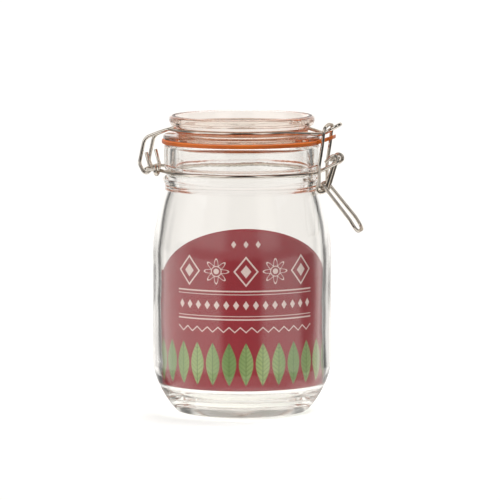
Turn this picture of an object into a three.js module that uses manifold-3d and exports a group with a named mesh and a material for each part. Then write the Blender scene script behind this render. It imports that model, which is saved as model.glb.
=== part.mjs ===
// A clip top storage jar: blown glass body, pressed glass lid, flat rubber ring and a
// sprung wire clip. Millimetres, +Z up. The jar stands on z = 0. The clip's catch is at
// +X and its hinge at -X; near pieces lie at -Y and far pieces at +Y.
import * as THREE from 'three';
import { mergeVertices } from 'three/addons/utils/BufferGeometryUtils.js';
import Module from 'manifold-3d';

// The whole object's box is centred on x = 0, so the jar's own axis is a little off it.
const JAR_AXIS_X = -5.85;

// Glass body, as radius and height.
const BODY_R = 52.5;
const BODY_LOW_Z = 28;
const BODY_HIGH_Z = 92;
const BODY_INNER_R = 48;
const INNER_HEEL_Z = 17.6;
const FLOOR_Z = 7.2;
const FOOT_OUT_R = 39;
const FLOOR_FLAT_R = 32;
const FOOT_IN_R = 35.5;
const PUNT_Z = 2.4;
const PUNT_FLAT_R = 29;
const NECK_R = 45.2;
const NECK_Z = 131;
const BEAD_R = 46.3;
const BEAD_Z = 136.6;
const WIRE_GROOVE_R = 44.6;
const COLLAR_R = 45.8;
const LIP_Z = 157.5;
const MOUTH_R = 39.5;
const NECK_INNER_R = MOUTH_R + 1;
const LIP_ROUND = 1.2;
const JAR_SIDES = 48;
const CURVE_STEPS = 6;

// Bezier handles of the jar's rounded heel and shoulder, each a radius and a height.
const HEEL_HANDLES = [[43, 3.4], [BODY_R, 17]];
const SHOULDER_HANDLES = [[BODY_R, 106], [47.5, 126]];
const INNER_SHOULDER_HANDLES = [[43, 126], [BODY_INNER_R, 106]];
const INNER_HEEL_HANDLES = [[47.2, 12.5], [41.5, 7.4]];

// Glass lid.
const LID_BOTTOM_Z = 160.3;
const LID_FLANGE_R = 46.4;
const LID_FLANGE_Z = 163.5;
const LID_GROOVE_R = 38.95;
const LID_RING_R = 42.8;
const LID_RING_Z = 170.7;
const LID_TOP_Z = 174.3;
const LID_DISH_R = 36.4;
const LID_DISH_Z = 168.3;
const LID_BOSS_R = 38.2;
const LID_BOSS_ROOT_Z = 157.8;
const LID_BOSS_TIP_R = 36.6;
const LID_BOSS_Z = 154.2;
const LID_BOSS_IN_R = 33.4;
const LID_UNDER_R = 31.5;
const LID_UNDER_Z = 162.1;

// Rubber ring, with the tab that is pulled to break the seal.
const SEAL_OUT_R = 47.2;
const SEAL_IN_R = 39.9;
const SEAL_Z = 157.8;
const SEAL_T = 2.2;
const SEAL_EDGE = 0.4;
const TAB_HALF_W = 6.5;
const TAB_LENGTH = 10.2;
const TAB_RISE = 20;
const TAB_CORNER = 3;
const TAB_OVERLAP = 1.2;

// Spring wire.
const WIRE_R = 1.05;
const WIRE_SIDES = 8;
const GAP = 0.3;
const ARC_STEP = 24;
const RING_STEP = 7.5;
const TIP_STEPS = 4;

// Neck wire: round the neck below the collar, a hairpin eye on each front end, and a
// wide U behind, whose cross bar is the lid's hinge.
const NECK_WIRE_Z = 141.7;
const NECK_WIRE_R = WIRE_GROOVE_R + GAP + WIRE_R;
const EYE_Y = 6.9;
const EYE_R = 2.35;
const PIVOT = { x: 56.6, z: 149.3 };
const EYE_TAIL = { x: 51.4, z: 147.6 };
const EYE_RISE = 27;
const HINGE = { x: -55.3, z: 142.4 };
const HINGE_BAR_Y = 14;
const HINGE_CORNER_X = -45.9;
const NECK_BENDS = { eye: 2.5, leg: 3, bar: 2.2 };

// Small coils where the wire's two halves are hooked together on the U's legs.
const COIL_X = -48.2;
const COIL_R = 2.5;

// Lid wire: round the lid in its groove, a tongue in front, and two arms that curl under
// the hinge bar and end standing up behind it.
const LID_WIRE_Z = 166;
const LID_WIRE_R = LID_GROOVE_R + GAP + WIRE_R;
const TONGUE = { x: 48.9, z: 163.9 };
const TONGUE_Y = 3.4;
const TONGUE_RISE = 30;
const TONGUE_LENGTH = 11.6;
const ARM_Y = 11.2;
const ARM_ROOT_X = -41.5;
const ARM_TOP = { x: -47.5, z: 164 };
const ARM_SHOULDER = { x: -56.2, z: 160.6 };
const ARM_ELBOW = { x: -59.6, z: 145.4 };
const CURL_R = 2.4;
const CURL_START = 200;
const CURL_END = 374.5;
const ARM_TAIL = 9.4;
const LID_BENDS = { elbow: 5, shoulder: 6, top: 8, root: 3, tongue: 3 };

// Latch lever: pins in the neck wire's eyes, legs, a coil on each leg for the hook, and a
// wider handle.
const LEVER_PIN_Y = 8.2;
const LEVER_TOP_Y = 4.3;
const LEVER_LOW_Y = 4.7;
const LEVER_COIL_Y = 7.1;
const HANDLE_Y = 8.5;
const HOOK_PIVOT = { x: 48.8, z: 132.3 };
const COIL_TURN_R = 2.45;
const LEG_END_ANGLE = -17.2;
const HANDLE_START_ANGLE = -320.7;
const HANDLE_BEND = { x: 66.4, z: 114.7 };
const HANDLE_DROP = 57.3;
const HANDLE_END = 8.33;
const LEG_CRANK = { from: 0.36, to: 0.76 };
const LEVER_BENDS = { pin: 1.5, leg: 6, handle: 8, tip: 4.5 };

// Latch hook: two legs up from the lever's coils, and a bar over the tongue.
const HOOK_Y = 11.4;
const HOOK_PIN_Y = 3.6;
const HOOK_LOW = { x: 48.7, z: 146 };
const HOOK_BEND = { x: 50.6, z: 157.5 };
const HOOK_HIGH = { x: 51.2, z: 163.5 };
const HOOK_BAR = { x: 52, z: 168.3 };
const HOOK_ARCH = 1.2;
const HOOK_BENDS = { pin: 1.8, low: 12, high: 8, corner: 3, bar: 20 };

// Printed card, curved against the inside wall.
const CARD_R = BODY_INNER_R - 0.4;
const CARD_T = 0.5;
const CARD_LOW_Z = 17.5;
const CARD_SHOULDER_Z = 84.6;
const CARD_TOP_Z = 111.4;
const CARD_ARCH_R = 77;
const CARD_HALF_ANGLE = 88;
const CARD_STEPS = 44;
const CARD_ROWS = 6;
const CARD_LEAN = 0.006;
const CARD_CENTRE_ANGLE = -74.3;

const GLASS = { color: 0xe6ece8, roughness: 0.03, metalness: 0 };
const RUBBER = { color: 0xd9702a, roughness: 0.45, metalness: 0 };
const STEEL = { color: 0xa9a49c, roughness: 0.25, metalness: 1 };
const CARD = { color: 0x85293a, roughness: 0.55, metalness: 0 };

const wasm = await Module();
wasm.setup();

const rad = THREE.MathUtils.degToRad;
const v2 = (x, y) => new THREE.Vector2(x, y);
const v3 = (x, y, z) => new THREE.Vector3(x, y, z);

function part(name, geometry, look) {
  const material = new THREE.MeshStandardMaterial(look);
  if (look === GLASS) {
    material.transparent = true;
    material.opacity = 0.35;
  }
  const mesh = new THREE.Mesh(geometry, material);
  mesh.name = name;
  return mesh;
}

// Points of a Bezier curve in radius and height, without its first point.
function curve(from, handles, to, steps = CURVE_STEPS) {
  const [first, second] = handles.map(([r, z]) => v2(r, z));
  const bezier = new THREE.CubicBezierCurve(from, first, second, to);
  return bezier.getPoints(steps).slice(1);
}

// Turns a profile of radius and height about the jar's upright axis.
function turned(profile, sides) {
  const geometry = new THREE.LatheGeometry(profile, sides);
  return geometry.rotateX(Math.PI / 2);
}

// Outer wall from the foot up, over the lip, and down the inner wall to the floor.
function jarGlass() {
  const foot = v2(FOOT_OUT_R, 0);
  const wallTop = v2(BODY_R, BODY_HIGH_Z);
  const innerNeck = v2(NECK_INNER_R, NECK_Z);
  const innerWallFoot = v2(BODY_INNER_R, INNER_HEEL_Z);
  const profile = [
    v2(0, PUNT_Z),
    v2(PUNT_FLAT_R, PUNT_Z - 0.4),
    v2(FOOT_IN_R, 0),
    foot,
    ...curve(foot, HEEL_HANDLES, v2(BODY_R, BODY_LOW_Z)),
    wallTop,
    ...curve(wallTop, SHOULDER_HANDLES, v2(NECK_R, NECK_Z)),
    v2(NECK_R + 0.2, BEAD_Z - 2.6),
    v2(BEAD_R - 0.2, BEAD_Z - 1),
    v2(BEAD_R, BEAD_Z),
    v2(BEAD_R - 0.3, BEAD_Z + 1.4),
    v2(WIRE_GROOVE_R, NECK_WIRE_Z - 1.6),
    v2(WIRE_GROOVE_R, NECK_WIRE_Z + 1.6),
    v2(COLLAR_R - 0.2, NECK_WIRE_Z + 2.8),
    v2(COLLAR_R, LIP_Z - 2),
    v2(COLLAR_R - 0.6, LIP_Z - 0.6),
    v2(COLLAR_R - 2, LIP_Z),
    v2(MOUTH_R + LIP_ROUND, LIP_Z),
    v2(MOUTH_R, LIP_Z - LIP_ROUND),
    v2(MOUTH_R, NECK_WIRE_Z),
    innerNeck,
    ...curve(innerNeck, INNER_SHOULDER_HANDLES, v2(BODY_INNER_R, BODY_HIGH_Z)),
    innerWallFoot,
    ...curve(innerWallFoot, INNER_HEEL_HANDLES, v2(FLOOR_FLAT_R, FLOOR_Z), CURVE_STEPS - 1),
    v2(0, FLOOR_Z),
  ];
  return turned(profile, JAR_SIDES);
}

// Boss that drops into the mouth, flange on the rubber, wire groove, top ring and dish.
function lidGlass() {
  const profile = [
    v2(0, LID_UNDER_Z),
    v2(LID_UNDER_R, LID_UNDER_Z),
    v2(LID_BOSS_IN_R, LID_BOSS_Z + 1),
    v2(LID_BOSS_IN_R + 1, LID_BOSS_Z),
    v2(LID_BOSS_TIP_R - 0.8, LID_BOSS_Z),
    v2(LID_BOSS_TIP_R, LID_BOSS_Z + 0.9),
    v2(LID_BOSS_R, LID_BOSS_ROOT_Z),
    v2(LID_BOSS_R + 0.3, LID_BOTTOM_Z),
    v2(LID_FLANGE_R - 0.5, LID_BOTTOM_Z),
    v2(LID_FLANGE_R, LID_BOTTOM_Z + 0.5),
    v2(LID_FLANGE_R - 0.1, LID_FLANGE_Z - 1.4),
    v2(LID_FLANGE_R - 1.2, LID_FLANGE_Z - 0.6),
    v2(LID_GROOVE_R + 0.6, LID_FLANGE_Z),
    v2(LID_GROOVE_R, LID_FLANGE_Z + 0.5),
    v2(LID_GROOVE_R, LID_WIRE_Z + 1.2),
    v2(LID_RING_R - 1.5, LID_RING_Z - 2.8),
    v2(LID_RING_R - 0.2, LID_RING_Z - 1),
    v2(LID_RING_R, LID_RING_Z + 0.4),
    v2(LID_RING_R - 0.6, LID_TOP_Z - 1.2),
    v2(LID_RING_R - 2, LID_TOP_Z - 0.1),
    v2(LID_RING_R - 3.4, LID_TOP_Z),
    v2(LID_DISH_R + 1, LID_TOP_Z - 1.8),
    v2(LID_DISH_R, LID_DISH_Z + 0.5),
    v2(LID_DISH_R - 1, LID_DISH_Z),
    v2(0, LID_DISH_Z - 0.4),
  ];
  return turned(profile, JAR_SIDES);
}

function solid(geometry) {
  const bare = geometry.clone();
  bare.deleteAttribute('normal');
  bare.deleteAttribute('uv');
  const merged = mergeVertices(bare, 1e-4);
  const mesh = new wasm.Mesh({
    numProp: 3,
    vertProperties: new Float32Array(merged.attributes.position.array),
    triVerts: new Uint32Array(merged.index.array),
  });
  return new wasm.Manifold(mesh);
}

function geometryOf(manifold) {
  const mesh = manifold.getMesh();
  const geometry = new THREE.BufferGeometry();
  const positions = new THREE.BufferAttribute(new Float32Array(mesh.vertProperties), 3);
  geometry.setAttribute('position', positions);
  geometry.setIndex(new THREE.BufferAttribute(new Uint32Array(mesh.triVerts), 1));
  geometry.computeVertexNormals();
  return geometry;
}

// A flat washer joined with a round-ended tab that tips up towards its end.
function sealRing() {
  const top = SEAL_Z + SEAL_T;
  const ring = turned([
    v2(SEAL_IN_R, SEAL_Z),
    v2(SEAL_OUT_R - SEAL_EDGE, SEAL_Z),
    v2(SEAL_OUT_R, SEAL_Z + SEAL_EDGE),
    v2(SEAL_OUT_R, top - SEAL_EDGE),
    v2(SEAL_OUT_R - SEAL_EDGE, top),
    v2(SEAL_IN_R, top),
    v2(SEAL_IN_R, SEAL_Z),
  ], JAR_SIDES);
  const outline = new THREE.Shape();
  outline.moveTo(0, -TAB_HALF_W);
  outline.lineTo(TAB_LENGTH - TAB_CORNER, -TAB_HALF_W);
  outline.quadraticCurveTo(TAB_LENGTH, -TAB_HALF_W, TAB_LENGTH, TAB_CORNER - TAB_HALF_W);
  outline.lineTo(TAB_LENGTH, TAB_HALF_W - TAB_CORNER);
  outline.quadraticCurveTo(TAB_LENGTH, TAB_HALF_W, TAB_LENGTH - TAB_CORNER, TAB_HALF_W);
  outline.lineTo(0, TAB_HALF_W);
  outline.closePath();
  const tab = new THREE.ExtrudeGeometry(outline, {
    depth: SEAL_T, bevelEnabled: false, curveSegments: 4,
  });
  tab.rotateY(-rad(TAB_RISE));
  tab.translate(SEAL_OUT_R - TAB_OVERLAP, 0, SEAL_Z + 0.1);
  return geometryOf(solid(ring).add(solid(tab)));
}

// A wire's route as a list of points, taken one by one instead of evenly spaced, so that
// tight bends get more points than straight runs.
class Route extends THREE.Curve {
  constructor(points) {
    super();
    this.points = points;
  }

  getPointAt(u) {
    const last = this.points.length - 1;
    return this.points[Math.round(u * last)].clone();
  }

  getTangentAt(u) {
    const last = this.points.length - 1;
    const i = Math.round(u * last);
    const before = this.points[Math.max(i - 1, 0)];
    const here = this.points[i];
    const after = this.points[Math.min(i + 1, last)];
    const arriving = v3().subVectors(here, before).normalize();
    const leaving = v3().subVectors(after, here).normalize();
    return arriving.add(leaving).normalize();
  }

  getPoint(u) {
    return this.getPointAt(u);
  }

  getTangent(u) {
    return this.getTangentAt(u);
  }
}

// A round wire of closed ends along a route.
function wire(points) {
  const section = [];
  for (let i = 0; i < WIRE_SIDES; i += 1) {
    const angle = (2 * Math.PI * (i + 0.5)) / WIRE_SIDES;
    section.push(v2(WIRE_R * Math.cos(angle), WIRE_R * Math.sin(angle)));
  }
  return new THREE.ExtrudeGeometry(new THREE.Shape(section), {
    steps: points.length - 1, bevelEnabled: false, extrudePath: new Route(points),
  });
}

// Rounds a corner of a route with an arc of the given radius.
function bend(from, corner, to, radius) {
  const back = v3().subVectors(from, corner).normalize();
  const ahead = v3().subVectors(to, corner).normalize();
  const turn = Math.PI - back.angleTo(ahead);
  const run = radius * Math.tan(turn / 2);
  const middle = v3().addVectors(back, ahead).normalize();
  const centre = corner.clone().addScaledVector(middle, radius / Math.cos(turn / 2));
  const start = corner.clone().addScaledVector(back, run).sub(centre);
  const end = corner.clone().addScaledVector(ahead, run).sub(centre);
  const steps = Math.max(1, Math.ceil(turn / rad(ARC_STEP)));
  const points = [];
  for (let i = 0; i <= steps; i += 1) {
    const t = i / steps;
    const point = centre.clone();
    point.addScaledVector(start, Math.sin((1 - t) * turn) / Math.sin(turn));
    point.addScaledVector(end, Math.sin(t * turn) / Math.sin(turn));
    points.push(point);
  }
  return points;
}

// A route through points: an entry with a radius is a corner to be rounded.
function route(entries) {
  const points = [];
  entries.forEach((entry, i) => {
    if (entry.radius) {
      points.push(...bend(entries[i - 1].at, entry.at, entries[i + 1].at, entry.radius));
    } else {
      points.push(entry.at);
    }
  });
  return points;
}

const at = (x, y, z, radius = 0) => ({ at: v3(x, y, z), radius });

// Points on an upright circle about a line along Y, from one angle to the other.
function uprightArc(centre, radius, from, to, y0, y1 = y0) {
  const steps = Math.ceil(Math.abs(to - from) / ARC_STEP);
  const points = [];
  for (let i = 0; i <= steps; i += 1) {
    const t = i / steps;
    const angle = rad(from + (to - from) * t);
    const y = y0 + (y1 - y0) * t;
    points.push(at(centre.x + radius * Math.cos(angle), y, centre.z + radius * Math.sin(angle)));
  }
  return points;
}

// Points on a level circle about the jar's axis.
function levelArc(radius, z, from, to) {
  const steps = Math.ceil(Math.abs(to - from) / RING_STEP);
  const points = [];
  for (let i = 0; i <= steps; i += 1) {
    const angle = rad(from + ((to - from) * i) / steps);
    points.push(at(radius * Math.cos(angle), radius * Math.sin(angle), z));
  }
  return points;
}

// The angle at which a straight wire from (x, y) meets a level circle, on the side where
// the circle goes on away from the line y = 0.
function meetingAngle(x, y, radius) {
  const own = THREE.MathUtils.radToDeg(Math.atan2(Math.abs(y), Math.abs(x)));
  return own + THREE.MathUtils.radToDeg(Math.acos(radius / Math.hypot(x, y)));
}

// The other half of a route, mirrored in Y, so that the whole runs from end to end.
function mirrored(half) {
  const other = half.map(({ at: p, radius }) => at(p.x, -p.y, p.z, radius)).reverse();
  return [...half, ...other];
}

function neckWire() {
  const rise = rad(EYE_RISE);
  const toTail = Math.hypot(EYE_TAIL.x - PIVOT.x, EYE_TAIL.z - PIVOT.z);
  const tailAngle = 180 + THREE.MathUtils.radToDeg(
    Math.atan2(PIVOT.z - EYE_TAIL.z, PIVOT.x - EYE_TAIL.x),
  );
  const eyeStart = tailAngle - THREE.MathUtils.radToDeg(Math.acos(EYE_R / toTail));
  const eyeEnd = EYE_RISE - 90;
  const eyeEndX = PIVOT.x + EYE_R * Math.cos(rad(eyeEnd));
  const eyeEndZ = PIVOT.z + EYE_R * Math.sin(rad(eyeEnd));
  const cornerX = eyeEndX - (eyeEndZ - NECK_WIRE_Z) / Math.tan(rise);
  const front = meetingAngle(cornerX, EYE_Y, NECK_WIRE_R);
  const rear = meetingAngle(HINGE_CORNER_X, HINGE_BAR_Y, NECK_WIRE_R);
  const half = [
    at(EYE_TAIL.x, -EYE_Y, EYE_TAIL.z),
    ...uprightArc(PIVOT, EYE_R, eyeStart, eyeEnd, -EYE_Y),
    at(cornerX, -EYE_Y, NECK_WIRE_Z, NECK_BENDS.eye),
    ...levelArc(NECK_WIRE_R, NECK_WIRE_Z, -front, rear - 180),
    at(HINGE_CORNER_X, -HINGE_BAR_Y, NECK_WIRE_Z, NECK_BENDS.leg),
    at(HINGE.x, -HINGE_BAR_Y, HINGE.z, NECK_BENDS.bar),
  ];
  return wire(route(mirrored(half)));
}

function neckCoil(side) {
  const geometry = new THREE.TorusGeometry(COIL_R, WIRE_R, WIRE_SIDES, 16);
  geometry.rotateY(Math.PI / 2);
  const slope = (HINGE.z - NECK_WIRE_Z) / (HINGE_CORNER_X - HINGE.x);
  const z = NECK_WIRE_Z + (HINGE_CORNER_X - COIL_X) * slope;
  return geometry.translate(COIL_X, side * HINGE_BAR_Y, z);
}

function lidWire() {
  const rise = rad(TONGUE_RISE);
  const tipRun = TONGUE_LENGTH - TONGUE_Y;
  const curlEnd = rad(CURL_END);
  const tail = {
    x: HINGE.x + CURL_R * Math.cos(curlEnd) - ARM_TAIL * Math.sin(curlEnd),
    z: HINGE.z + CURL_R * Math.sin(curlEnd) + ARM_TAIL * Math.cos(curlEnd),
  };
  const front = meetingAngle(TONGUE.x, TONGUE_Y, LID_WIRE_R);
  const rear = meetingAngle(ARM_ROOT_X, ARM_Y, LID_WIRE_R);
  const tip = [];
  for (let i = 0; i <= TIP_STEPS; i += 1) {
    const angle = rad(-90 + (90 * i) / TIP_STEPS);
    const along = tipRun + TONGUE_Y * Math.cos(angle);
    const x = TONGUE.x + along * Math.cos(rise);
    tip.push(at(x, TONGUE_Y * Math.sin(angle), TONGUE.z + along * Math.sin(rise)));
  }
  const half = [
    at(tail.x, -ARM_Y, tail.z),
    ...uprightArc(HINGE, CURL_R, CURL_END, CURL_START, -ARM_Y),
    at(ARM_ELBOW.x, -ARM_Y, ARM_ELBOW.z, LID_BENDS.elbow),
    at(ARM_SHOULDER.x, -ARM_Y, ARM_SHOULDER.z, LID_BENDS.shoulder),
    at(ARM_TOP.x, -ARM_Y, ARM_TOP.z, LID_BENDS.top),
    at(ARM_ROOT_X, -ARM_Y, LID_WIRE_Z, LID_BENDS.root),
    ...levelArc(LID_WIRE_R, LID_WIRE_Z, rear - 180, -front),
    at(TONGUE.x, -TONGUE_Y, TONGUE.z, LID_BENDS.tongue),
    ...tip,
  ];
  const other = mirrored(half);
  other.splice(half.length, 1);
  return wire(route(other));
}

function latchLever() {
  const legEnd = rad(LEG_END_ANGLE);
  const legEndX = HOOK_PIVOT.x + COIL_TURN_R * Math.cos(legEnd);
  const legEndZ = HOOK_PIVOT.z + COIL_TURN_R * Math.sin(legEnd);
  const onLeg = (t) => ({
    x: PIVOT.x + (legEndX - PIVOT.x) * t,
    z: PIVOT.z + (legEndZ - PIVOT.z) * t,
  });
  const high = onLeg(LEG_CRANK.from);
  const low = onLeg(LEG_CRANK.to);
  const drop = rad(HANDLE_DROP);
  const tipX = HANDLE_BEND.x + HANDLE_END * Math.cos(drop);
  const tipZ = HANDLE_BEND.z - HANDLE_END * Math.sin(drop);
  const coil = uprightArc(
    HOOK_PIVOT, COIL_TURN_R, LEG_END_ANGLE, HANDLE_START_ANGLE, -LEVER_LOW_Y, -LEVER_COIL_Y,
  );
  const half = [
    at(PIVOT.x, -LEVER_PIN_Y, PIVOT.z),
    at(PIVOT.x, -LEVER_TOP_Y, PIVOT.z, LEVER_BENDS.pin),
    at(high.x, -LEVER_TOP_Y, high.z, LEVER_BENDS.leg),
    at(low.x, -LEVER_LOW_Y, low.z, LEVER_BENDS.leg),
    ...coil,
    at(HANDLE_BEND.x, -HANDLE_Y, HANDLE_BEND.z, LEVER_BENDS.handle),
    at(tipX, -HANDLE_Y, tipZ, LEVER_BENDS.tip),
    at(tipX, 0, tipZ),
  ];
  const other = mirrored(half);
  other.splice(half.length, 1);
  return wire(route(other));
}

function latchHook() {
  const half = [
    at(HOOK_PIVOT.x, -HOOK_PIN_Y, HOOK_PIVOT.z),
    at(HOOK_PIVOT.x, -HOOK_Y, HOOK_PIVOT.z, HOOK_BENDS.pin),
    at(HOOK_LOW.x, -HOOK_Y, HOOK_LOW.z, HOOK_BENDS.low),
    at(HOOK_BEND.x, -HOOK_Y, HOOK_BEND.z, HOOK_BENDS.high),
    at(HOOK_HIGH.x, -HOOK_Y, HOOK_HIGH.z),
    at(HOOK_BAR.x, -HOOK_Y, HOOK_BAR.z, HOOK_BENDS.corner),
    at(HOOK_BAR.x, 0, HOOK_BAR.z + HOOK_ARCH, HOOK_BENDS.bar),
  ];
  const other = mirrored(half);
  other.splice(half.length, 1);
  return wire(route(other));
}

// Height of the card's top edge at a distance s round the wall from its middle.
function cardTop(s) {
  const inside = CARD_ARCH_R ** 2 - s ** 2;
  const arch = inside > 0 ? CARD_TOP_Z - CARD_ARCH_R + Math.sqrt(inside) : 0;
  return Math.max(arch, CARD_SHOULDER_Z);
}

// A flat card with an arched top, bent round the inside of the wall. Where the wall draws
// in towards the shoulder, the card leans in with it.
function labelCard() {
  const geometry = new THREE.BoxGeometry(1, 1, 1, CARD_STEPS, CARD_ROWS, 1);
  const position = geometry.attributes.position;
  for (let i = 0; i < position.count; i += 1) {
    const turn = 2 * position.getX(i) * CARD_HALF_ANGLE;
    const angle = rad(CARD_CENTRE_ANGLE + turn);
    const top = cardTop(CARD_R * rad(turn));
    const z = CARD_LOW_Z + (top - CARD_LOW_Z) * (position.getY(i) + 0.5);
    const lean = CARD_LEAN * Math.max(0, z - BODY_HIGH_Z) ** 2;
    const radius = CARD_R - lean - CARD_T * (0.5 - position.getZ(i));
    position.setXYZ(i, radius * Math.cos(angle), radius * Math.sin(angle), z);
  }
  return geometry;
}

const jar = new THREE.Group();
jar.position.x = JAR_AXIS_X;
jar.add(part('jar_glass', jarGlass(), GLASS));
jar.add(part('label_card', labelCard(), CARD));
jar.add(part('neck_wire', neckWire(), STEEL));
jar.add(part('neck_coil_near', neckCoil(-1), STEEL));
jar.add(part('neck_coil_far', neckCoil(1), STEEL));

const lid = new THREE.Group();
lid.add(part('lid_glass', lidGlass(), GLASS));
lid.add(part('seal_ring', sealRing(), RUBBER));
lid.add(part('lid_wire', lidWire(), STEEL));
jar.add(lid);

const latch = new THREE.Group();
latch.add(part('latch_lever', latchLever(), STEEL));
latch.add(part('latch_hook', latchHook(), STEEL));
jar.add(latch);

export default jar;
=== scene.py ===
# A clip top storage jar: a glass jar and lid with an orange rubber ring between them, a
# sprung wire clip, and a printed card curved inside. The sizes below are in millimetres in
# the jar's own frame, whose axis is upright, and +Z is up. The clip's catch is at +X.
import itertools
import math

import bpy
import numpy as np
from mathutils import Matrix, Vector


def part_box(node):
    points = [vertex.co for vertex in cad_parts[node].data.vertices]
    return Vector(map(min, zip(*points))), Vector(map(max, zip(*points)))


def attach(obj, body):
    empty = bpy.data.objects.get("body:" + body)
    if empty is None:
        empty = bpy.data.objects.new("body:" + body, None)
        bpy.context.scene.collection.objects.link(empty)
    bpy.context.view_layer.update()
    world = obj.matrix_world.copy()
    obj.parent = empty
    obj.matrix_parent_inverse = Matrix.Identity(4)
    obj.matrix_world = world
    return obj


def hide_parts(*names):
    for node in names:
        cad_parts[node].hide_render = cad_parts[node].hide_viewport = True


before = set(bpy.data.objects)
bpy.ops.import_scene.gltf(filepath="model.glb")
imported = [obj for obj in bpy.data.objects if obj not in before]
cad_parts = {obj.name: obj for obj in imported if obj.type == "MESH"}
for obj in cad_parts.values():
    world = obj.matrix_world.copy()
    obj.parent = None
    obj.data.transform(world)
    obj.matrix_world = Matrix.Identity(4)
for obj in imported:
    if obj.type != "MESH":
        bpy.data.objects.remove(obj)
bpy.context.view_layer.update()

MM = 0.001
glass_low, glass_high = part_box("jar_glass")
AXIS_X = (glass_low.x + glass_high.x) / 2

# Camera. A long lens far off, nearly level, a little above the lid and a little to the
# catch's side, so that the lid's ellipses and the two arms behind come out as they are.
CAMERA_TURN = 13.0
CAMERA_DISTANCE = 2.24
CAMERA_HEIGHT = 0.342
CAMERA_LENS = 275.0
CAMERA_PITCH = 6.31
CAMERA_YAW = -0.12
turn, aim = math.radians(CAMERA_TURN), math.radians(CAMERA_TURN + CAMERA_YAW)
pitch = math.radians(CAMERA_PITCH)
camera = bpy.data.objects.new("camera", bpy.data.cameras.new("camera"))
camera.data.lens = CAMERA_LENS
camera.data.clip_end = 50.0
camera.location = (
    AXIS_X + CAMERA_DISTANCE * math.sin(turn),
    -CAMERA_DISTANCE * math.cos(turn),
    CAMERA_HEIGHT,
)
look = Vector((
    -math.sin(aim) * math.cos(pitch), math.cos(aim) * math.cos(pitch), -math.sin(pitch),
))
camera.rotation_euler = look.to_track_quat("-Z", "Y").to_euler()
bpy.context.collection.objects.link(camera)
bpy.context.scene.camera = camera
bpy.context.scene.view_settings.view_transform = "Standard"

# Light crosses many faces of the glass before it leaves, so its paths may be long.
bpy.context.scene.cycles.max_bounces = 32
bpy.context.scene.cycles.glossy_bounces = 24
bpy.context.scene.cycles.transmission_bounces = 24


# Floor and light. A round pale floor stands in a ring of soft white light, with a few
# darker gaps between the softboxes, which draw the edges of the glass and of the wire.
# The camera itself sees plain white.
class Port:
    """A node's output. Arithmetic on it adds Math nodes, and add() makes any other node."""

    def __init__(self, tree, socket=None):
        self.tree, self.socket = tree, socket

    def add(self, kind, settings=None, inputs=None, out=0):
        """A node of that kind with its settings and inputs, as the port of one output."""
        node = self.tree.nodes.new(kind)
        for name, value in (settings or {}).items():
            setattr(node, name, value)
        for key, value in (inputs or {}).items():
            if isinstance(value, Port):
                self.tree.links.new(value.socket, node.inputs[key])
            else:
                node.inputs[key].default_value = value
        return Port(self.tree, node.outputs[out] if len(node.outputs) else None)

    def maths(self, operation, *values):
        """A Math node with that operation on the values, which are ports or numbers."""
        return self.add("ShaderNodeMath", {"operation": operation}, dict(enumerate(values)))

    def __add__(self, other):
        return self.maths("ADD", self, other)

    def __radd__(self, other):
        return self.maths("ADD", other, self)

    def __sub__(self, other):
        return self.maths("SUBTRACT", self, other)

    def __rsub__(self, other):
        return self.maths("SUBTRACT", other, self)

    def __mul__(self, other):
        return self.maths("MULTIPLY", self, other)

    def __rmul__(self, other):
        return self.maths("MULTIPLY", other, self)

    def __abs__(self):
        return self.maths("ABSOLUTE", self)

    def rise(self, low, high):
        """0 below low and 1 above high, with an S-shaped rise between them."""
        return self.add(
            "ShaderNodeMapRange",
            {"interpolation_type": "SMOOTHSTEP"},
            {"Value": self, "From Min": low, "From Max": high},
        )

    def blend(self, first, second):
        """The first colour where this value is 0 and the second where it is 1."""
        mixed = {0: self, 6: first, 7: second}
        return self.add("ShaderNodeMix", {"data_type": "RGBA"}, mixed, out=2)

    def noise(self, scale, detail):
        """Noise of that scale and detail, looked up at this place."""
        inputs = {"Vector": self, "Scale": scale, "Detail": detail}
        return self.add("ShaderNodeTexNoise", inputs=inputs)

    def bump(self, strength, distance):
        """The surface's normal, tilted by this height."""
        inputs = {"Strength": strength, "Distance": distance, "Height": self}
        return self.add("ShaderNodeBump", inputs=inputs, out="Normal")


def paint(red, green, blue):
    """A colour given as it shows on a screen, from 0 to 255, as the linear values of light."""
    shown = np.array([red, green, blue]) / 255
    light = np.where(shown < 0.04045, shown / 12.92, ((shown + 0.055) / 1.055) ** 2.4)
    return (*light, 1.0)


FLOOR_R = 0.2
SKY_STRENGTH, SKY_COLOUR = 1.07, (1, 0.975, 0.945, 1)
MIRROR_GAIN = 1.2
FRONT = 13
world = bpy.data.worlds.new("studio")
world.use_nodes = True
world.node_tree.nodes.clear()
sky = Port(world.node_tree)
direction = sky.add("ShaderNodeTexCoord", out="Generated")
split = direction.add("ShaderNodeSeparateXYZ", inputs={0: direction})
side = Port(sky.tree, split.socket.node.outputs["X"])
depth = Port(sky.tree, split.socket.node.outputs["Y"])
height = Port(sky.tree, split.socket.node.outputs["Z"])
around = sky.maths("ARCTAN2", side, -1 * depth)


def shade(*gaps):
    """How dark upright stripes in the light are: one less the product of what each leaves.
    A stripe has its middle, half width and soft edge in degrees round the jar, and its
    depth. The photo's front lies at FRONT degrees."""
    left = 1.0
    for middle, half_width, soft, deep in gaps:
        turned = around - math.radians(middle)
        away = abs(turned.maths("WRAP", turned, math.pi, -math.pi))
        edges = math.radians(half_width - soft), math.radians(half_width + soft)
        left = left * (1 - deep * (1 - away.rise(*edges)))
    return 1 - left


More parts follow.
